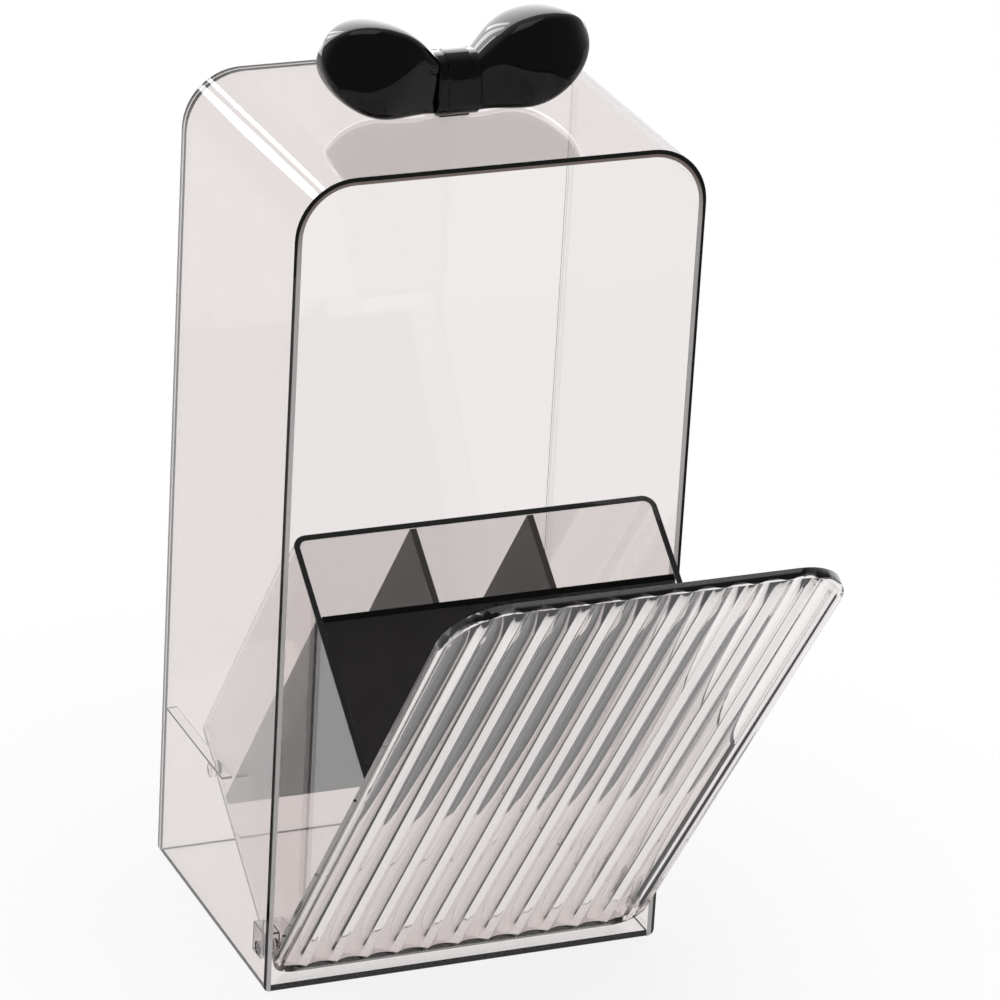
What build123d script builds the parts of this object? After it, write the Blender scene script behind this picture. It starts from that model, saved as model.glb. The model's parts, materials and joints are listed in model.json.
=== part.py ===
from build123d import *
import os
from math import asin, cos, isclose, radians, sin

os.makedirs("parts", exist_ok=True)

# A clear cabinet for make-up brushes: an arch over a base and a back panel, with a
# fluted front that tilts out between the walls and carries a tub, and a bow on top.
# Millimetres. X runs across, Y to the back, Z up, and the origin is the middle of the
# underside. "Behind" is measured from the cabinet's front edges. The bin is drawn
# open, as it is used, in a frame of its own that leans forward about the tilt axis.

# Cabinet
WIDTH = 110.0  # over both walls
DEPTH = 82.6  # front edges to back face
HEIGHT = 223.0  # underside to the top of the arch
WALL = 2.0  # arch and back panel
SHOULDER_R = 15.4  # arch, outside
FOOT_R = 1.8  # lower outer edges of the walls
BASE_T = 1.8  # base plate
SEAT_GAP = 0.1  # glued joint round the back panel

# Tilt axis
PIVOT_BACK = 5.4  # behind the front edges
PIVOT_UP = 10.2  # above the underside
OPEN_ANGLE = 36.0  # lean of the open bin, degrees
PIN_R = 1.9
PIN_PLAY = 0.05  # running clearance in the bores
PIN_SHY = 0.2  # pin's end inside the wall's outer face
HINGE_REACH = 2.9  # block, in from the wall
HINGE_TALL = 5.4  # block, above the axis
HINGE_DEEP = 5.2  # block, behind the axis
HINGE_CLEAR = 0.2  # block's round nose to the turning panel
HINGE_CORNER_R = 0.6

# Front panel, measured with the bin shut
PANEL_T = 2.2
PANEL_GAP = 0.75  # to each wall
PANEL_LOW = 4.1  # bottom edge above the underside
PANEL_TALL = 187.3
PANEL_TOP_R = 15.5
PANEL_FOOT_R = 8.0
FLUTES = 12
FLUTE_DEPTH = 1.1
FLUTE_LAND = 0.5  # flat ridge between two flutes
FLUTE_RIM = 1.4  # flat border all round

# Tub behind the panel, measured with the bin shut
TUB_T = 1.6
TUB_GAP = 3.3  # to each wall
TUB_LOW = 3.6  # underside above the cabinet's
TUB_TALL = 98.0
TUB_REAR_GAP = 5.8  # to the back panel
TUB_REAR_R = 3.7  # upright rear corners
TUB_FOOT_R = 3.0  # edges of the floor

# Dividers
DIVIDER_T = 1.8
DIVIDER_GAP = 0.15  # to the tub's walls
CROSS_BACK = 50.4  # middle of the cross divider, behind the front edges
BAY_PITCH = 32.0  # between the two rear dividers
BAY_SHIFT = -1.2  # middle of that pair, off the tub's middle

# Stop: a ledge on each wall over a lug on each side of the tub
LEDGE_BACK = 37.4  # front end, behind the front edges
LEDGE_UP = 43.1  # underside
LEDGE_T = 0.8
LEDGE_REACH = 2.9
LUG_R = 2.0
LUG_ARM = 52.6  # from the tilt axis
LUG_CLEAR = 0.5  # lug's end to the wall
STOP_GAP = 0.3  # lug under its ledge, open

# Bow
BOW_FORWARD = 4.4  # ahead of the cabinet's middle
BOW_FOOT_TALL = 0.8  # pad that the knot stands on
BOW_FOOT_W = 8.0
BOW_FOOT_DEEP = 4.4
KNOT_TALL = 17.2  # arch to the knot's top
KNOT_DEEP = 12.6
KNOT_TOP_R = 6.0
KNOT_UNDER_R = 4.0
MIDDLE_PLEAT_W = 6.8
SIDE_PLEAT_W = 2.4
PLEAT_STEP = 0.5  # side pleats inside the middle one
PLEAT_EDGE = 0.4
LOBE_ROOT_R = 5.9  # round of the outline in the knot's middle
LOBE_BELLY = 19.5  # round at the widest place, from the knot's middle
LOBE_BELLY_R = 11.9
LOBE_TIP = 26.8  # round at the tip, from the knot's middle
LOBE_TIP_R = 11.2
LOBE_DEEP = 15.5
LOBE_BEVEL = 4.0  # round the front and the back face
LOBE_SOFT = 1.5  # on both edges of that bevel
LOBE_NECK = 8.0  # length over both lobes' thin roots
LOBE_NECK_DEEP = 10.4
LOBE_FULL = 19.0  # where the full depth begins
LOBE_RISE = 21.0  # degrees
LOBE_UP = 5.9  # middle of the root above the arch

# Worked out from the sizes above
SIDES = {"left": -1, "right": 1}
front_y = -DEPTH / 2
back_y = DEPTH / 2
wall_x = WIDTH / 2 - WALL
pivot_y = front_y + PIVOT_BACK
lean = radians(OPEN_ANGLE)

# The bin's frame has its origin on the tilt axis: x across, y to the back of the tub
# and z up its walls.
BIN = Plane(origin=(0, pivot_y, PIVOT_UP), x_dir=(1, 0, 0), z_dir=(0, -sin(lean), cos(lean)))
BIN_FACE = Plane(origin=BIN.origin, x_dir=BIN.x_dir, z_dir=-BIN.y_dir)
BIN_SIDE = Plane(origin=BIN.origin, x_dir=BIN.y_dir, z_dir=BIN.x_dir)
BIN_UP = Axis(BIN.origin, BIN.z_dir)
BIN_BACK = Axis(BIN.origin, BIN.y_dir)

panel_w = 2 * (wall_x - PANEL_GAP)
panel_low = PANEL_LOW - PIVOT_UP
panel_front = -PIVOT_BACK
panel_back = panel_front + PANEL_T

tub_x = wall_x - TUB_GAP
tub_low = TUB_LOW - PIVOT_UP
tub_deep = DEPTH - WALL - TUB_REAR_GAP - PANEL_T
tub_floor = tub_low + TUB_T
tub_rear_in = panel_back + tub_deep - TUB_T
divider_tall = TUB_TALL - TUB_T
divider_corner_r = TUB_FOOT_R - TUB_T + DIVIDER_GAP
cross_y = CROSS_BACK - PIVOT_BACK

flute_pitch = (panel_w - 2 * FLUTE_RIM) / FLUTES
flute_chord = flute_pitch - FLUTE_LAND
flute_r = (flute_chord**2 / 4 + FLUTE_DEPTH**2) / (2 * FLUTE_DEPTH)

hinge_r = PIVOT_BACK - PANEL_T - HINGE_CLEAR
bore_r = PIN_R + PIN_PLAY

lug_up = LEDGE_UP - STOP_GAP - LUG_R
lug_angle = asin((lug_up - PIVOT_UP) / LUG_ARM)
lug_y = pivot_y + LUG_ARM * cos(lug_angle)

bow_y = -BOW_FORWARD
knot_x = MIDDLE_PLEAT_W / 2 + SIDE_PLEAT_W
knot_low = HEIGHT + BOW_FOOT_TALL


# Cabinet ---------------------------------------------------------------------------


# Inside of the arch, drawn in by a gap: square at the foot, round at the shoulders.
def arch_inside(gap):
    Rectangle(2 * (wall_x - gap), HEIGHT - WALL - gap, align=(Align.CENTER, Align.MIN))


with BuildPart() as arch_shell:
    with BuildSketch(Plane.XZ.offset(-back_y)):
        with BuildSketch(mode=Mode.PRIVATE) as arch_opening:
            arch_inside(0)
            fillet(arch_opening.vertices().group_by(Axis.Y)[-1], SHOULDER_R - WALL)
        with BuildSketch() as arch_outside:
            Rectangle(WIDTH, HEIGHT, align=(Align.CENTER, Align.MIN))
            fillet(arch_outside.vertices().group_by(Axis.Y)[-1], SHOULDER_R)
            fillet(arch_outside.vertices().group_by(Axis.Y)[0], FOOT_R)
        add(arch_opening.sketch, mode=Mode.SUBTRACT)
    extrude(amount=DEPTH)
    with BuildSketch(Plane.YZ.offset(-WIDTH / 2)):
        with Locations((pivot_y, PIVOT_UP)):
            Circle(bore_r)
    extrude(amount=WIDTH, mode=Mode.SUBTRACT)
arch_shell.part.label = "arch_shell"
export_step(arch_shell.part, "parts/arch_shell.step")

with BuildPart() as back_panel:
    with BuildSketch(Plane.XZ.offset(-back_y)) as back_outline:
        arch_inside(SEAT_GAP)
        fillet(back_outline.vertices().group_by(Axis.Y)[-1], SHOULDER_R - WALL - SEAT_GAP)
    extrude(amount=WALL)
back_panel.part.label = "back_panel"
export_step(back_panel.part, "parts/back_panel.step")

with BuildPart() as base_plate:
    with BuildSketch(Plane.XY):
        with Locations((0, front_y)):
            Rectangle(2 * wall_x, DEPTH - WALL, align=(Align.CENTER, Align.MIN))
    extrude(amount=BASE_T)
base_plate.part.label = "base_plate"
export_step(base_plate.part, "parts/base_plate.step")

# Ledge along each wall that the open bin's lug comes up under.
for side, sign in SIDES.items():
    with BuildPart() as stop_ledge:
        with BuildSketch(Plane.XY.offset(LEDGE_UP)):
            with Locations((sign * (wall_x - LEDGE_REACH / 2), front_y + LEDGE_BACK)):
                Rectangle(LEDGE_REACH, DEPTH - WALL - LEDGE_BACK, align=(Align.CENTER, Align.MIN))
        extrude(amount=LEDGE_T)
    stop_ledge.part.label = f"stop_ledge_{side}"
    export_step(stop_ledge.part, f"parts/stop_ledge_{side}.step")

# Hinge block: square behind and above the axis, round where the panel turns past it.
for side, sign in SIDES.items():
    with BuildPart() as hinge_block:
        with BuildSketch(Plane.YZ.offset(sign * wall_x)) as hinge_outline:
            with Locations((pivot_y, PIVOT_UP)):
                Circle(hinge_r)
                Rectangle(HINGE_DEEP, hinge_r, align=(Align.MIN, Align.MAX))
                Rectangle(HINGE_DEEP, HINGE_TALL, align=(Align.MIN, Align.MIN))
                Rectangle(hinge_r, HINGE_TALL, align=(Align.MAX, Align.MIN))
            fillet(hinge_outline.vertices().group_by(Axis.Y)[-1], HINGE_CORNER_R)
            with Locations((pivot_y, PIVOT_UP)):
                Circle(bore_r, mode=Mode.SUBTRACT)
        extrude(amount=-sign * HINGE_REACH)
    hinge_block.part.label = f"hinge_block_{side}"
    export_step(hinge_block.part, f"parts/hinge_block_{side}.step")


# Bow -------------------------------------------------------------------------------

# Side view of the knot, drawn in by a step at the front, the back and the top.
def knot_outline(step):
    with BuildSketch(Plane.XY) as outline:
        with Locations((bow_y, knot_low)):
            Rectangle(KNOT_DEEP - 2 * step, KNOT_TALL - BOW_FOOT_TALL - step, align=(Align.CENTER, Align.MIN))
        fillet(outline.vertices().group_by(Axis.Y)[-1], KNOT_TOP_R - step)
        fillet(outline.vertices().group_by(Axis.Y)[0], KNOT_UNDER_R - step)
    return outline.sketch


with BuildPart() as middle_pleat:
    with BuildSketch(Plane.YZ.offset(-MIDDLE_PLEAT_W / 2)):
        add(knot_outline(0))
    extrude(amount=MIDDLE_PLEAT_W)
    chamfer(middle_pleat.faces().filter_by(Axis.X).edges(), PLEAT_EDGE)

# The two side pleats are one band that goes through under the middle pleat.
with BuildPart() as side_pleats:
    with BuildSketch(Plane.YZ.offset(-knot_x)):
        add(knot_outline(PLEAT_STEP))
    extrude(amount=2 * knot_x)
    chamfer(side_pleats.faces().filter_by(Axis.X).edges(), PLEAT_EDGE)

with BuildPart() as bow_knot:
    add(middle_pleat.part)
    add(side_pleats.part)
    with BuildSketch(Plane.XY.offset(HEIGHT)):
        with Locations((0, bow_y)):
            Rectangle(BOW_FOOT_W, BOW_FOOT_DEEP)
    extrude(amount=BOW_FOOT_TALL + PLEAT_EDGE)
bow_knot.part.label = "bow_knot"
export_step(bow_knot.part, "parts/bow_knot.step")

# Edges of a part that lie a given distance in front of or behind its middle plane.
def edges_off_middle(part, distance):
    return part.edges().filter_by(lambda edge: isclose(abs(edge.center().Y), distance, abs_tol=0.01))


# A lobe is a pillow: its outline goes round three circles, its faces are bevelled all
# round, each bevel's edges are softened, and it thins towards the knot.
with BuildPart() as lobe_form:
    with BuildSketch(Plane.XZ.offset(-LOBE_DEEP / 2)):
        Circle(LOBE_ROOT_R)
        with Locations((LOBE_BELLY, 0)):
            Circle(LOBE_BELLY_R)
        with Locations((LOBE_TIP, 0)):
            Circle(LOBE_TIP_R)
        make_hull()
    extrude(amount=LOBE_DEEP)
    chamfer(edges_off_middle(lobe_form, LOBE_DEEP / 2), LOBE_BEVEL)
    bevel_inner = edges_off_middle(lobe_form, LOBE_DEEP / 2)
    bevel_outer = edges_off_middle(lobe_form, LOBE_DEEP / 2 - LOBE_BEVEL)
    chamfer(bevel_inner + bevel_outer, LOBE_SOFT)
    with BuildSketch(Plane.XY.offset(-LOBE_BELLY_R)):
        Rectangle(LOBE_NECK, LOBE_NECK_DEEP)
        with Locations((LOBE_FULL, 0)):
            Rectangle(LOBE_TIP, LOBE_DEEP, align=(Align.MIN, Align.CENTER))
        make_hull()
    extrude(amount=2 * LOBE_BELLY_R, mode=Mode.INTERSECT)

with BuildPart() as bow_lobe_right:
    with Locations(Location((0, bow_y, HEIGHT + LOBE_UP), (0, -LOBE_RISE, 0))):
        add(lobe_form.part)
    split(bisect_by=Plane.YZ.offset(knot_x), keep=Keep.TOP)
bow_lobe_right.part.label = "bow_lobe_right"
export_step(bow_lobe_right.part, "parts/bow_lobe_right.step")

with BuildPart() as bow_lobe_left:
    add(bow_lobe_right.part)
    mirror(about=Plane.YZ, mode=Mode.REPLACE)
bow_lobe_left.part.label = "bow_lobe_left"
export_step(bow_lobe_left.part, "parts/bow_lobe_left.step")


# Bin -------------------------------------------------------------------------------


# Outline of the front panel in its own face, drawn in by an inset.
def panel_outline(inset):
    with BuildSketch(Plane.XY) as outline:
        with Locations((0, panel_low + inset)):
            Rectangle(panel_w - 2 * inset, PANEL_TALL - 2 * inset, align=(Align.CENTER, Align.MIN))
        fillet(outline.vertices().group_by(Axis.Y)[-1], PANEL_TOP_R - inset)
        fillet(outline.vertices().group_by(Axis.Y)[0], PANEL_FOOT_R - inset)
    return outline.sketch


# The flutes' hollows: round channels side by side, ended by the flat border.
with BuildPart() as flute_hollows:
    with BuildSketch(BIN.offset(panel_low)):
        with Locations((0, panel_front + FLUTE_DEPTH - flute_r)):
            with GridLocations(flute_pitch, 0, FLUTES, 1):
                Circle(flute_r)
    extrude(amount=PANEL_TALL)
    with BuildSketch(BIN_FACE.offset(-panel_back)):
        add(panel_outline(FLUTE_RIM))
    extrude(amount=PANEL_T + FLUTE_DEPTH, mode=Mode.INTERSECT)

with BuildPart() as front_panel:
    with BuildSketch(BIN_FACE.offset(-panel_back)):
        add(panel_outline(0))
    extrude(amount=PANEL_T)
    add(flute_hollows.part, mode=Mode.SUBTRACT)
front_panel.part.label = "front_panel"
export_step(front_panel.part, "parts/front_panel.step")

# The tub is open at the top and at the front, where the panel closes it.
with BuildPart() as bin_tub:
    with BuildSketch(BIN.offset(tub_low)) as tub_plan:
        with Locations((0, panel_back)):
            Rectangle(2 * tub_x, tub_deep, align=(Align.CENTER, Align.MIN))
        fillet(tub_plan.vertices().group_by(Axis.Y)[-1], TUB_REAR_R)
    extrude(amount=TUB_TALL)
    floor_edges = bin_tub.faces().sort_by(BIN_UP)[0].edges().sort_by(BIN_BACK)
    fillet(floor_edges[1:], TUB_FOOT_R)
    tub_mouth = bin_tub.faces().sort_by(BIN_UP)[-1]
    tub_front = bin_tub.faces().sort_by(BIN_BACK)[0]
    offset(amount=-TUB_T, openings=[tub_mouth, tub_front], kind=Kind.INTERSECTION)
bin_tub.part.label = "bin_tub"
export_step(bin_tub.part, "parts/bin_tub.step")

with BuildPart() as cross_divider:
    with BuildSketch(BIN_FACE.offset(-cross_y - DIVIDER_T / 2)) as cross_outline:
        with Locations((0, tub_floor)):
            Rectangle(2 * (tub_x - TUB_T - DIVIDER_GAP), divider_tall, align=(Align.CENTER, Align.MIN))
        fillet(cross_outline.vertices().group_by(Axis.Y)[0], divider_corner_r)
    extrude(amount=DIVIDER_T)
cross_divider.part.label = "cross_divider"
export_step(cross_divider.part, "parts/cross_divider.step")

# Two dividers from the cross divider to the rear wall make three small bays.
for side, sign in SIDES.items():
    with BuildPart() as rear_divider:
        divider_x = BAY_SHIFT + sign * BAY_PITCH / 2
        divider_front = cross_y + DIVIDER_T / 2
        with BuildSketch(BIN_SIDE.offset(divider_x - DIVIDER_T / 2)) as rear_outline:
            with Locations((divider_front, tub_floor)):
                Rectangle(tub_rear_in - DIVIDER_GAP - divider_front, divider_tall, align=Align.MIN)
            fillet(rear_outline.vertices().group_by(Axis.Y)[0].sort_by(Axis.X)[-1], divider_corner_r)
        extrude(amount=DIVIDER_T)
    rear_divider.part.label = f"rear_divider_{side}"
    export_step(rear_divider.part, f"parts/rear_divider_{side}.step")

# Hinge pins, from the tub's sides out through the blocks and the walls.
for side, sign in SIDES.items():
    with BuildPart() as hinge_pin:
        with BuildSketch(Plane.YZ.offset(sign * tub_x)):
            with Locations((pivot_y, PIVOT_UP)):
                Circle(PIN_R)
        extrude(amount=sign * (TUB_GAP + WALL - PIN_SHY))
    hinge_pin.part.label = f"hinge_pin_{side}"
    export_step(hinge_pin.part, f"parts/hinge_pin_{side}.step")

# Lugs on the tub's sides that meet the ledges when the bin is fully open.
for side, sign in SIDES.items():
    with BuildPart() as stop_lug:
        with BuildSketch(Plane.YZ.offset(sign * tub_x)):
            with Locations((lug_y, lug_up)):
                Circle(LUG_R)
        extrude(amount=sign * (TUB_GAP - LUG_CLEAR))
    stop_lug.part.label = f"stop_lug_{side}"
    export_step(stop_lug.part, f"parts/stop_lug_{side}.step")
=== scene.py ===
import json
from math import cos, radians, sin

import bpy
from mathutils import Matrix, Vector


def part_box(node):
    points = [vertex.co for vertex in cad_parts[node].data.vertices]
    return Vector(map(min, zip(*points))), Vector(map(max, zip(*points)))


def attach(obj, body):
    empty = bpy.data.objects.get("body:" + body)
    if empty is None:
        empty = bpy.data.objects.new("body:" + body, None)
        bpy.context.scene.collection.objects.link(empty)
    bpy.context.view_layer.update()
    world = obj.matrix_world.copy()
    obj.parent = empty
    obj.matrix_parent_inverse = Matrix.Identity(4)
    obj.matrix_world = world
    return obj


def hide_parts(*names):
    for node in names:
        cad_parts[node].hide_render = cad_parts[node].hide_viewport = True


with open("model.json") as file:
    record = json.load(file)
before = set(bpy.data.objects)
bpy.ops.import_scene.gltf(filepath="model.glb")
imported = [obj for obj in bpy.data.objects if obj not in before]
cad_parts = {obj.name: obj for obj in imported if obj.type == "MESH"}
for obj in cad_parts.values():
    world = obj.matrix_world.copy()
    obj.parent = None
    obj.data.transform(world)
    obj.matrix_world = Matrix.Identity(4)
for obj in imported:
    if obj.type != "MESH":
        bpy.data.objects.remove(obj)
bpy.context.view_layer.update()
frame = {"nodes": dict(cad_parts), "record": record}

millimetre = 0.001
nodes = frame["nodes"]
scene = bpy.context.scene
bodies = frame["record"]["behaviour"]["bodies"]
bodyOf = {name: body for body, names in bodies.items() for name in names}
slotOf = {part["node"]: part["material_slot"] for part in frame["record"]["subparts"]}


def newMaterial(name):
    material = bpy.data.materials.new(name)
    material.use_nodes = True
    tree = material.node_tree
    return material, tree, tree.nodes["Principled BSDF"]


def setSurface(tree, source):
    tree.links.new(source, tree.nodes["Material Output"].inputs["Surface"])


def feed(tree, socket, value):  # a plain value, or a link from another node's socket
    if isinstance(value, (int, float, tuple)):
        socket.default_value = value
    else:
        tree.links.new(value, socket)


def addMath(tree, operation, first, second=0.0):
    node = tree.nodes.new("ShaderNodeMath")
    node.operation = operation
    feed(tree, node.inputs[0], first)
    feed(tree, node.inputs[1], second)
    return node.outputs["Value"]


def addRange(tree, source, low, high, start=0.0, end=1.0):
    span = tree.nodes.new("ShaderNodeMapRange")
    span.inputs["From Min"].default_value = start
    span.inputs["From Max"].default_value = end
    span.inputs["To Min"].default_value = low
    span.inputs["To Max"].default_value = high
    tree.links.new(source, span.inputs["Value"])
    return span.outputs["Result"]


def addMix(tree, factor, first, second):
    mix = tree.nodes.new("ShaderNodeMix")
    mix.data_type = "RGBA"
    for name, value in (("Factor", factor), ("A", first), ("B", second)):
        feed(tree, mix.inputs[name], value)
    return mix.outputs["Result"]


def addDot(tree, source, direction):
    node = tree.nodes.new("ShaderNodeVectorMath")
    node.operation = "DOT_PRODUCT"
    tree.links.new(source, node.inputs[0])
    node.inputs[1].default_value = direction
    return node.outputs["Value"]


def addPlaces(tree):  # a place's "Object" coordinates, and the "Normal" there
    return tree.nodes.new("ShaderNodeTexCoord").outputs


def addParts(tree, place):  # its "X", "Y" and "Z"
    split = tree.nodes.new("ShaderNodeSeparateXYZ")
    tree.links.new(place, split.inputs["Vector"])
    return split.outputs


cloudDetail = 3.0
rippleDetail = 1.0


def addNoise(tree, scale, detail=cloudDetail):
    noise = tree.nodes.new("ShaderNodeTexNoise")
    noise.inputs["Scale"].default_value = scale
    noise.inputs["Detail"].default_value = detail
    tree.links.new(addPlaces(tree)["Object"], noise.inputs["Vector"])
    return noise.outputs["Fac"]


def addRipple(tree, shader, settings):
    bump = tree.nodes.new("ShaderNodeBump")
    bump.inputs["Strength"].default_value = 1.0
    bump.inputs["Distance"].default_value = settings["rippleHeight"] * millimetre
    ripple = addNoise(tree, settings["rippleSize"], rippleDetail)
    tree.links.new(ripple, bump.inputs["Height"])
    tree.links.new(bump.outputs["Normal"], shader.inputs["Normal"])


cameraSettings = {
    "place": (-0.53926, -1.28185, 0.72836),
    "turn": (66.197, -3.052, -22.283),  # degrees about x, y and z
    "lens": 211.014,  # mm
    "sensor": 36,  # mm wide
    "clipStart": 0.05,
}


def setCamera(settings):
    data = bpy.data.cameras.new("camera")
    data.lens = settings["lens"]
    data.sensor_width = settings["sensor"]
    data.clip_start = settings["clipStart"]
    camera = bpy.data.objects.new("camera", data)
    camera.location = settings["place"]
    camera.rotation_euler = [radians(angle) for angle in settings["turn"]]
    scene.collection.objects.link(camera)
    scene.camera = camera


middleOfHolder = (0, 0, 0.22)
lampSettings = {
    "backStripFirst": {
        "place": (-0.26, 1.0, 0.80), "aim": middleOfHolder, "width": 0.07, "height": 0.5, "watts": 0.8,
    },
    "backStripSecond": {
        "place": (-0.42, 0.98, 0.78), "aim": middleOfHolder, "width": 0.11, "height": 0.5, "watts": 1.2,
    },
    "backStripThird": {
        "place": (-0.66, 0.90, 0.66), "aim": middleOfHolder, "width": 0.08, "height": 0.5, "watts": 0.8,
    },
    "overheadPanel": {
        "place": (-0.1, -0.2, 1.3), "aim": (0, 0, 0.2), "width": 0.8, "height": 0.8, "watts": 2.7,
    },
}
bowLampSettings = {  # mirrored by the bow alone, stands upright behind it
    "place": (0.20, 1.10, 0.86), "aim": (0, 0, 0.86), "width": 2.6, "height": 1.65, "watts": 62.0,
}


def addLamp(name, settings):
    data = bpy.data.lights.new(name, "AREA")
    data.shape = "RECTANGLE"
    data.size = settings["width"]
    data.size_y = settings["height"]
    data.energy = settings["watts"]
    lamp = bpy.data.objects.new(name, data)
    lamp.location = settings["place"]
    direction = Vector(settings["aim"]) - Vector(settings["place"])
    lamp.rotation_euler = direction.to_track_quat("-Z", "Y").to_euler()
    lamp.visible_camera = False
    lamp.visible_transmission = False
    scene.collection.objects.link(lamp)
    return lamp


worldSettings = {
    "frontLevel": 0.22,  # the room before the table
    "backLevel": 0.95,  # the pale wall behind it
    "change": (-0.5, 0.5),  # of the direction's y, from front to back
}


def setWorld(settings):
    world = bpy.data.worlds.new("studio")
    scene.world = world
    world.use_nodes = True
    tree = world.node_tree
    direction = tree.nodes.new("ShaderNodeTexCoord").outputs["Generated"]
    level = tree.nodes.new("ShaderNodeMapRange")
    level.interpolation_type = "SMOOTHSTEP"
    level.inputs["From Min"].default_value = settings["change"][0]
    level.inputs["From Max"].default_value = settings["change"][1]
    level.inputs["To Min"].default_value = settings["frontLevel"]
    level.inputs["To Max"].default_value = settings["backLevel"]
    tree.links.new(addParts(tree, direction)["Y"], level.inputs["Value"])
    path = tree.nodes.new("ShaderNodeLightPath")  # plain white to the eye and through the plastic
    seen = addMath(tree, "MAXIMUM", path.outputs["Is Camera Ray"], path.outputs["Is Transmission Ray"])
    rest = addMath(tree, "SUBTRACT", 1.0, seen)
    strength = addMath(tree, "ADD", seen, addMath(tree, "MULTIPLY", rest, level.outputs["Result"]))
    background = tree.nodes["Background"]
    background.inputs["Color"].default_value = (1, 1, 1, 1)
    tree.links.new(strength, background.inputs["Strength"])


floorSettings = {
    "size": 3.0,
    "front": -0.24,  # the table's front edge
    "drop": 0.0003,  # below the feet
    "color": (0.92, 0.92, 0.92, 1),
    "roughness": 0.6,
    "gloss": 0.2,
    "white": (0.84, 1.0),  # share of plain white that the eye, mirrors and glass see, near and far
    "nearAndFar": (0.08, 0.20),  # from the holder's middle
}


def makeFloor(settings):
    bpy.ops.object.select_all(action="DESELECT")
    middle = settings["front"] + settings["size"] / 2
    bpy.ops.mesh.primitive_plane_add(size=settings["size"], location=(0, middle, -settings["drop"]))
    bpy.ops.object.transform_apply(location=True, rotation=True, scale=True)
    floor = bpy.context.object
    floor.name = "floor"
    material, tree, shader = newMaterial("paleFloor")
    shader.inputs["Base Color"].default_value = settings["color"]
    shader.inputs["Roughness"].default_value = settings["roughness"]
    shader.inputs["Specular IOR Level"].default_value = settings["gloss"]
    path = tree.nodes.new("ShaderNodeLightPath")
    seen = addMath(tree, "MAXIMUM", path.outputs["Is Camera Ray"], path.outputs["Is Glossy Ray"])
    seen = addMath(tree, "MAXIMUM", seen, path.outputs["Is Transmission Ray"])
    distance = tree.nodes.new("ShaderNodeVectorMath")
    distance.operation = "LENGTH"
    tree.links.new(addPlaces(tree)["Object"], distance.inputs[0])
    share = addRange(tree, distance.outputs["Value"], *settings["white"], *settings["nearAndFar"])
    white = tree.nodes.new("ShaderNodeEmission")
    blend = tree.nodes.new("ShaderNodeMixShader")
    tree.links.new(addMath(tree, "MULTIPLY", seen, share), blend.inputs["Fac"])
    tree.links.new(shader.outputs["BSDF"], blend.inputs[1])
    tree.links.new(white.outputs["Emission"], blend.inputs[2])
    setSurface(tree, blend.outputs["Shader"])
    floor.data.materials.append(material)


# The next four give where a piece's edges carry painted shade, dark bands standing for the light lost
# along the tinted sheet, and for the arch also where and in what colour the rest of the edge is solid
# instead of clear, with a darker colour along the top that is painted shade.
onFlatEdge = (0.6, 0.8)  # how squarely a face looks the edge's way, from not at all to fully

archEdgeSettings = {
    "shoulderRadius": 0.0154,
    "darkWidth": (0.0009, 0.0013),  # on the sides and along the top
    "blur": 0.0002,
    "topChange": (-0.004, 0.008),  # about the height where the shoulders begin
    "sideColor": (0.92, 0.89, 0.88, 1),
    # painted shade: the solid edge colour along the top is darker than the sides'
    "topEdgeShadeColor": (0.46, 0.37, 0.34, 1),
}


# Painted shade on the arch's edges: a dark band along the outer rim, and a solid edge colour that is
# darker along the top.
def archEdgeShade(tree):
    settings = archEdgeSettings
    places = addPlaces(tree)
    parts = addParts(tree, places["Object"])
    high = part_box("arch_shell")[1]
    cornerX = high.x - settings["shoulderRadius"]
    cornerZ = high.z - settings["shoulderRadius"]
    beyondX = addMath(tree, "SUBTRACT", addMath(tree, "ABSOLUTE", parts["X"]), cornerX)
    beyondZ = addMath(tree, "SUBTRACT", parts["Z"], cornerZ)
    beyond = [addMath(tree, "MAXIMUM", value) for value in (beyondX, beyondZ)]
    squares = [addMath(tree, "MULTIPLY", value, value) for value in beyond]
    radius = addMath(tree, "SQRT", addMath(tree, "ADD", *squares))
    depth = addMath(tree, "SUBTRACT", settings["shoulderRadius"], radius)
    lower, upper = (cornerZ + shift for shift in settings["topChange"])
    onTop = addRange(tree, parts["Z"], 0, 1, lower, upper)
    width = addRange(tree, onTop, *settings["darkWidth"])
    outer = addRange(tree, addMath(tree, "SUBTRACT", width, depth), 0, 1, 0, settings["blur"])
    facing = addMath(tree, "ABSOLUTE", addDot(tree, places["Normal"], (0, 1, 0)))
    onEdge = addRange(tree, facing, 0, 1, *onFlatEdge)
    fillAndTopShade = addMix(tree, onTop, settings["sideColor"], settings["topEdgeShadeColor"])
    return addMath(tree, "MULTIPLY", onEdge, outer), (onEdge, fillAndTopShade)


leanAngle = radians(36)  # of the open bin
binUp = (0, -sin(leanAngle), cos(leanAngle))


def reach(nodeName, direction):
    heights = [vertex.co.dot(Vector(direction)) for vertex in nodes[nodeName].data.vertices]
    return min(heights), max(heights)


panelEdgeSettings = {
    "ends": (0.3, 0.6),  # as onFlatEdge, for the painted shade on the rounded top and bottom edges
    "foot": (0.0008, 0.0010),  # height of the painted shade, a dark line along the foot
}


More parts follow.
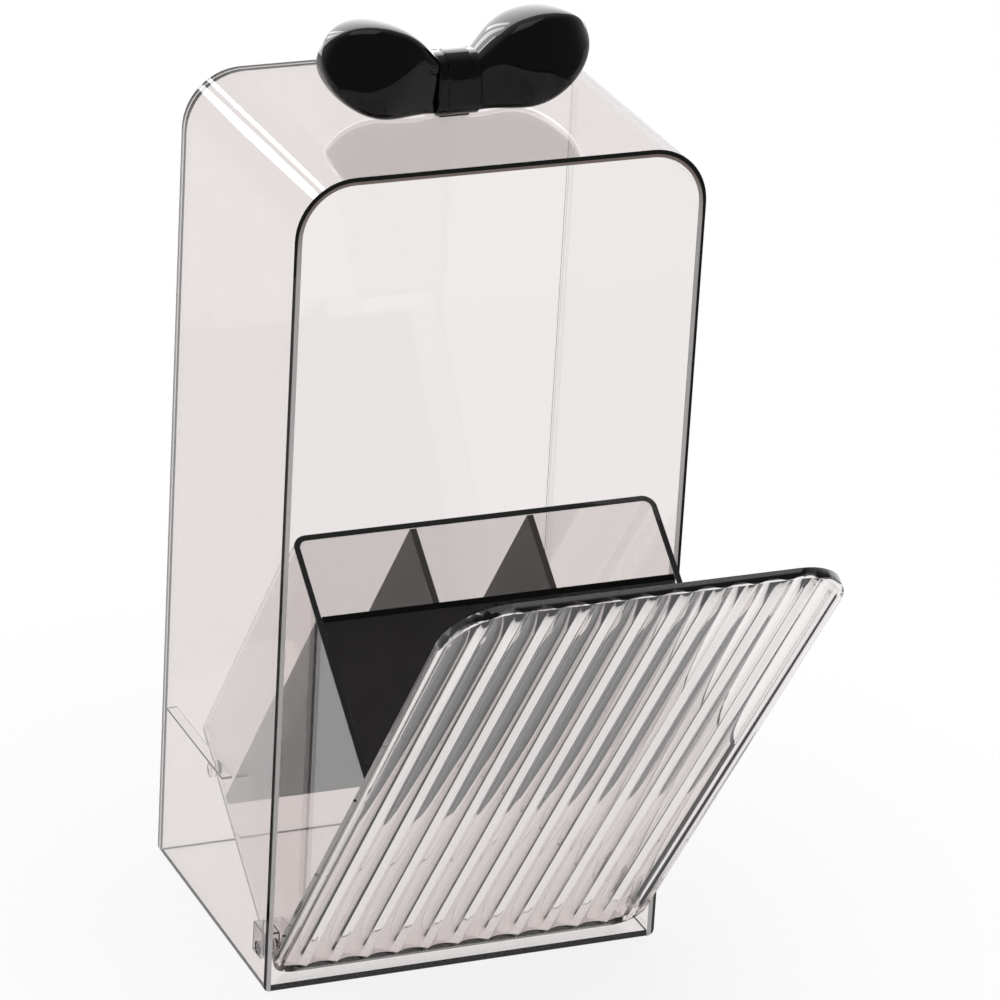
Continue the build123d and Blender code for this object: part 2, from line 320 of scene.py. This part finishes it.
# Painted shade on the fluted panel: dark rounded top and bottom edges and a dark line along the foot.
def panelEdgeShade(tree):
    settings = panelEdgeSettings
    foot, top = reach("front_panel", binUp)
    middle = (foot + top) / 2
    places = addPlaces(tree)
    height = addDot(tree, places["Object"], binUp)
    nearer = addRange(tree, height, -1, 1, middle - millimetre, middle + millimetre)  # foot or top
    outward = addMath(tree, "MULTIPLY", addDot(tree, places["Normal"], binUp), nearer)
    ends = addRange(tree, outward, 0, 1, *settings["ends"])
    lower, upper = (foot + shift for shift in settings["foot"])
    footLine = addRange(tree, height, 1, 0, lower, upper)
    return addMath(tree, "MAXIMUM", ends, footLine), None


tubRimShadeBand = (-0.0015, -0.0010)  # below the rim's top, where the painted shade begins


# Painted shade: a dark band on the faces along the tub's rim.
def tubEdgeShade(tree):
    rim = reach("bin_tub", binUp)[1]
    places = addPlaces(tree)
    up = addRange(tree, addDot(tree, places["Normal"], binUp), 0, 1, *onFlatEdge)
    lower, upper = (rim + shift for shift in tubRimShadeBand)
    onRim = addRange(tree, addDot(tree, places["Object"], binUp), 0, 1, lower, upper)
    return addMath(tree, "MULTIPLY", up, onRim), None


baseShadeBand = (0.0010, 0.0013)  # height of the painted shade along the lower part of the base's front edge


# Painted shade: the lower part of the base's front edge is made dark.
def baseEdgeShade(tree):
    places = addPlaces(tree)
    front = addRange(tree, addDot(tree, places["Normal"], (0, -1, 0)), 0, 1, *onFlatEdge)
    low = addRange(tree, addParts(tree, places["Object"])["Z"], 1, 0, *baseShadeBand)
    return addMath(tree, "MULTIPLY", front, low), None


clearPlastic = {
    "tint": (0.895, 0.862, 0.855, 1),
    # painted shade: near black laid on the edges, standing for the light lost along the tinted sheet
    "edge": (0.003, 0.0028, 0.0028, 1),
    "wearSize": 60.0,
    "roughness": (0.0, 0.02),
    "ior": 1.49,
    "filterColor": (0.30, 0.22, 0.22, 1),
    "filterDensity": 16.0,  # per metre
    "rippleSize": 25.0,
    "rippleHeight": 0.004,  # mm
    "shadow": (0.93, 0.92, 0.92, 1),
}
smallClearPlastic = dict(clearPlastic, tint=(0.96, 0.95, 0.95, 1), ior=1.18, filterDensity=4.0)


# Clear smoke plastic, with painted shade on its edges where the given edge function says: dark bands
# that stand for the light lost along the tinted sheet.
def makeClearPlastic(name, settings, edgeOf=None):
    material, tree, shader = newMaterial(name)
    shader.inputs["IOR"].default_value = settings["ior"]
    shader.inputs["Transmission Weight"].default_value = 1.0
    shader.inputs["Base Color"].default_value = settings["tint"]
    if edgeOf:
        dark, solidEdgeAndShade = edgeOf(tree)
        body = settings["tint"]
        if solidEdgeAndShade:
            onEdge, edgeColor = solidEdgeAndShade
            body = addMix(tree, onEdge, settings["tint"], edgeColor)
            clear = addMath(tree, "SUBTRACT", 1.0, onEdge)
            tree.links.new(clear, shader.inputs["Transmission Weight"])
        # painted shade mixed into the colour on the edges
        tree.links.new(addMix(tree, dark, body, settings["edge"]), shader.inputs["Base Color"])
    roughness = addRange(tree, addNoise(tree, settings["wearSize"]), *settings["roughness"])
    tree.links.new(roughness, shader.inputs["Roughness"])
    addRipple(tree, shader, settings)
    inside = tree.nodes.new("ShaderNodeVolumeAbsorption")
    inside.inputs["Color"].default_value = settings["filterColor"]
    inside.inputs["Density"].default_value = settings["filterDensity"]
    tree.links.new(inside.outputs["Volume"], tree.nodes["Material Output"].inputs["Volume"])
    shadow = tree.nodes.new("ShaderNodeMixShader")  # lamps shine through
    path = tree.nodes.new("ShaderNodeLightPath")
    through = tree.nodes.new("ShaderNodeBsdfTransparent")
    through.inputs["Color"].default_value = settings["shadow"]
    tree.links.new(path.outputs["Is Shadow Ray"], shadow.inputs["Fac"])
    tree.links.new(shader.outputs["BSDF"], shadow.inputs[1])
    tree.links.new(through.outputs["BSDF"], shadow.inputs[2])
    setSurface(tree, shadow.outputs["Shader"])
    return material


# The cross divider and the rear dividers are one plastic, given as lit and shaded copies: the cross
# divider's near-black colour and low gloss are painted shade, and the rear dividers' paler colour is
# painted light.
shadedCrossDividerPlastic = {
    "dark": (0.0030, 0.0029, 0.0029, 1),
    "pale": (0.0045, 0.0043, 0.0043, 1),
    "roughness": (0.15, 0.25),
    "gloss": 0.04,
    "rippleSize": 30.0,
    "rippleHeight": 0.004,  # mm
}
litRearDividerPlastic = {
    "dark": (0.046, 0.040, 0.038, 1),
    "pale": (0.056, 0.049, 0.047, 1),
    "roughness": (0.03, 0.08),
    "gloss": 0.25,
    "rippleSize": 30.0,
    "rippleHeight": 0.02,
}
bowPlastic = {
    "dark": (0.0018, 0.0018, 0.0018, 1),
    "pale": (0.0040, 0.0038, 0.0038, 1),
    "roughness": (0.012, 0.03),
    "gloss": 0.25,
    "rippleSize": 60.0,
    "rippleHeight": 0.02,
}
darkCloudSize = 45.0
darkWearSize = 90.0


def makeDarkPlastic(name, settings):
    material, tree, shader = newMaterial(name)
    color = addMix(tree, addNoise(tree, darkCloudSize), settings["dark"], settings["pale"])
    tree.links.new(color, shader.inputs["Base Color"])
    roughness = addRange(tree, addNoise(tree, darkWearSize), *settings["roughness"])
    tree.links.new(roughness, shader.inputs["Roughness"])
    shader.inputs["Specular IOR Level"].default_value = settings["gloss"]
    addRipple(tree, shader, settings)
    return material


hingeBlockPlastic = {
    "clear": (0.90, 0.88, 0.88, 1),
    # painted shade: the dark colour of the lines along the block's edges
    "outline": (0.05, 0.045, 0.045, 1),
    "outlineWidth": 0.0004,
    "blur": 0.00005,
    "twoFaces": (1.3, 1.8),  # an edge is where at least two of the three sides are near
    "solidShare": 0.05,  # the rest is seen straight through
    "wearSize": 60.0,
    "roughness": (0.02, 0.06),
}


# Clear block seen almost straight through, with painted shade: dark lines painted along its edges.
def makeBlockPlastic(name, settings, nodeName):
    material, tree, shader = newMaterial(name)
    parts = addParts(tree, addPlaces(tree)["Object"])
    near = []
    for axis, low, high in zip("XYZ", *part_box(nodeName)):
        offset = addMath(tree, "SUBTRACT", parts[axis], (low + high) / 2)
        limit = (high - low) / 2 - settings["outlineWidth"]
        lower, upper = limit - settings["blur"], limit + settings["blur"]
        near.append(addRange(tree, addMath(tree, "ABSOLUTE", offset), 0, 1, lower, upper))
    count = addMath(tree, "ADD", addMath(tree, "ADD", near[0], near[1]), near[2])
    outline = addRange(tree, count, 0, 1, *settings["twoFaces"])
    through = tree.nodes.new("ShaderNodeBsdfTransparent")
    color = addMix(tree, outline, settings["clear"], settings["outline"])
    tree.links.new(color, through.inputs["Color"])
    shader.inputs["Base Color"].default_value = settings["clear"]
    shader.inputs["Transmission Weight"].default_value = 1.0
    roughness = addRange(tree, addNoise(tree, settings["wearSize"]), *settings["roughness"])
    tree.links.new(roughness, shader.inputs["Roughness"])
    blend = tree.nodes.new("ShaderNodeMixShader")
    blend.inputs["Fac"].default_value = settings["solidShare"]
    tree.links.new(through.outputs["BSDF"], blend.inputs[1])
    tree.links.new(shader.outputs["BSDF"], blend.inputs[2])
    setSurface(tree, blend.outputs["Shader"])
    return material


def register(piece, nodeName, material):
    piece.data.materials.clear()
    piece.data.materials.append(material)
    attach(piece, bodyOf[nodeName])
    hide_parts(nodeName)
    return piece


copySettings = {
    "joinWithin": 0.000002,
    "flatWithin": 0.3,  # degrees between triangles that are one flat face
    "rounding": 0.00015,
    "roundingSteps": 2,
    "roundFrom": 30,  # degrees
    "smoothUpTo": 50,  # degrees
    "largeFacesFirst": 100,  # how much the shading follows the larger of two faces, 50 is even
}


# A copy of a CAD node with its triangles joined and its edges slightly rounded, shaded as flat and
# round faces. The fluted panel keeps its triangles, because flattening them would spoil the flutes.
def finishedCopy(nodeName, material, settings, keepTriangles=False):
    source = nodes[nodeName]
    piece = source.copy()
    piece.data = source.data.copy()
    piece.name = nodeName + "Finish"
    piece.parent = None
    for key in list(piece.keys()):
        if key.startswith("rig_"):
            del piece[key]
    scene.collection.objects.link(piece)
    bpy.ops.object.select_all(action="DESELECT")
    piece.select_set(True)
    bpy.context.view_layer.objects.active = piece
    bpy.ops.object.mode_set(mode="EDIT")
    bpy.ops.mesh.select_all(action="SELECT")
    bpy.ops.mesh.remove_doubles(threshold=settings["joinWithin"])
    if not keepTriangles:
        bpy.ops.mesh.dissolve_limited(angle_limit=radians(settings["flatWithin"]))
    bpy.ops.object.mode_set(mode="OBJECT")
    if not keepTriangles:
        rounding = piece.modifiers.new("edgeRounding", "BEVEL")
        rounding.width = settings["rounding"]
        rounding.segments = settings["roundingSteps"]
        rounding.limit_method = "ANGLE"
        rounding.angle_limit = radians(settings["roundFrom"])
        bpy.ops.object.modifier_apply(modifier="edgeRounding")
    bpy.ops.object.shade_smooth_by_angle(angle=radians(settings["smoothUpTo"]))
    flats = piece.modifiers.new("flatFaces", "WEIGHTED_NORMAL")
    flats.keep_sharp = True
    flats.weight = settings["largeFacesFirst"]
    bpy.ops.object.modifier_apply(modifier="flatFaces")
    return register(piece, nodeName, material)


bowLobe = {
    "place": (0, -0.0042, 0.2280),  # where its axis starts, inside the knot
    "rise": 23.5,  # degrees
    "flatness": 0.69,  # depth over height
    "cornerCut": 0.36,  # of the half height, keeps the front and top rather flat
    "softness": 3,  # subdivision levels
    "rings": (  # mm along the axis, half height in mm
        (2.5, 5.9), (5, 6.43), (8, 7.64), (11, 9.12), (14, 10.58),
        (17, 11.76), (21, 12.45), (25, 12.13), (28.5, 11.28), (31.5, 10.02),
        (34, 8.45), (36, 6.61), (37.4, 4.68), (38.3, 2.63), (38.7, 0.9),
    ),
}


# One lobe of the bow: a square with its corners cut, drawn out along the axis ring by ring, closed
# at the tip, softened, then turned and moved to its place.
def makeLobe(nodeName, material, settings):
    rings = [(along * millimetre, tall * millimetre) for along, tall in settings["rings"]]
    start, startTall = rings[0]
    bpy.ops.object.select_all(action="DESELECT")
    bpy.ops.mesh.primitive_plane_add(
        size=2 * startTall, location=(start, 0, 0), rotation=(0, radians(90), 0)
    )
    lobe = bpy.context.object
    lobe.name = nodeName + "Smooth"
    bpy.ops.object.transform_apply(location=True, rotation=True, scale=True)
    bpy.ops.object.mode_set(mode="EDIT")
    bpy.ops.mesh.select_all(action="SELECT")
    corner = settings["cornerCut"] * startTall
    bpy.ops.mesh.bevel(affect="VERTICES", offset=corner, offset_type="WIDTH")
    bpy.ops.transform.resize(value=(1, settings["flatness"], 1), center_override=(start, 0, 0))
    for (lastAlong, lastTall), (along, tall) in zip(rings[:-1], rings[1:]):
        step = (along - lastAlong, 0, 0)
        bpy.ops.mesh.extrude_region_move(TRANSFORM_OT_translate={"value": step})
        growth = tall / lastTall
        bpy.ops.transform.resize(value=(1, growth, growth), center_override=(along, 0, 0))
    bpy.ops.mesh.merge(type="CENTER")
    bpy.ops.object.mode_set(mode="OBJECT")
    softening = lobe.modifiers.new("softening", "SUBSURF")
    softening.levels = settings["softness"]
    softening.render_levels = settings["softness"]
    bpy.ops.object.modifier_apply(modifier="softening")
    bpy.ops.object.shade_smooth()
    lobe.rotation_euler = (0, -radians(settings["rise"]), 0)
    lobe.location = settings["place"]
    bpy.ops.object.transform_apply(location=True, rotation=True, scale=True)
    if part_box(nodeName)[0].x < 0:  # the left lobe mirrors the right one
        lobe.scale = (-1, 1, 1)
        bpy.ops.object.transform_apply(location=True, rotation=True, scale=True)
    bpy.ops.object.mode_set(mode="EDIT")
    bpy.ops.mesh.select_all(action="SELECT")
    bpy.ops.mesh.normals_make_consistent(inside=False)
    bpy.ops.object.mode_set(mode="OBJECT")
    return register(lobe, nodeName, material)


print("camera, lamps and floor")
setCamera(cameraSettings)
setWorld(worldSettings)
makeFloor(floorSettings)
for lampName, settings in lampSettings.items():
    addLamp(lampName, settings)

print("materials")
slotFinishes = {
    "clear_smoke": makeClearPlastic("clearSmokePlastic", clearPlastic),
    "divider_smoke": makeDarkPlastic("litRearDividerPlastic", litRearDividerPlastic),
    "bow_black": makeDarkPlastic("bowPlastic", bowPlastic),
}
ownFinishes = {
    "arch_shell": makeClearPlastic("clearArchPlastic", clearPlastic, archEdgeShade),
    "front_panel": makeClearPlastic("clearPanelPlastic", clearPlastic, panelEdgeShade),
    "bin_tub": makeClearPlastic("clearTubPlastic", clearPlastic, tubEdgeShade),
    "base_plate": makeClearPlastic("clearBasePlastic", clearPlastic, baseEdgeShade),
    "cross_divider": makeDarkPlastic("shadedCrossDividerPlastic", shadedCrossDividerPlastic),
}
smallClearFinish = makeClearPlastic("smallClearPlastic", smallClearPlastic)
for side in ("left", "right"):
    block = "hinge_block_" + side
    ownFinishes[block] = makeBlockPlastic(side + "BlockPlastic", hingeBlockPlastic, block)
    ownFinishes["stop_ledge_" + side] = smallClearFinish
    ownFinishes["stop_lug_" + side] = smallClearFinish

print("finishes on the CAD nodes and the bow's lobes")
bowPieces = []
for name in nodes:
    finish = ownFinishes.get(name, slotFinishes[slotOf[name]])
    if name.startswith("bow_lobe"):
        piece = makeLobe(name, finish, bowLobe)
    else:
        piece = finishedCopy(name, finish, copySettings, keepTriangles=name == "front_panel")
    if name.startswith("bow_"):
        bowPieces.append(piece)

print("lamp for the bow")
bowLamp = addLamp("bowSoftbox", bowLampSettings)
bowLamp.visible_diffuse = False
bowGroup = bpy.data.collections.new("bowPieces")
for piece in bowPieces:
    bowGroup.objects.link(piece)
bowLamp.light_linking.receiver_collection = bowGroup

scene.view_settings.view_transform = "Standard"
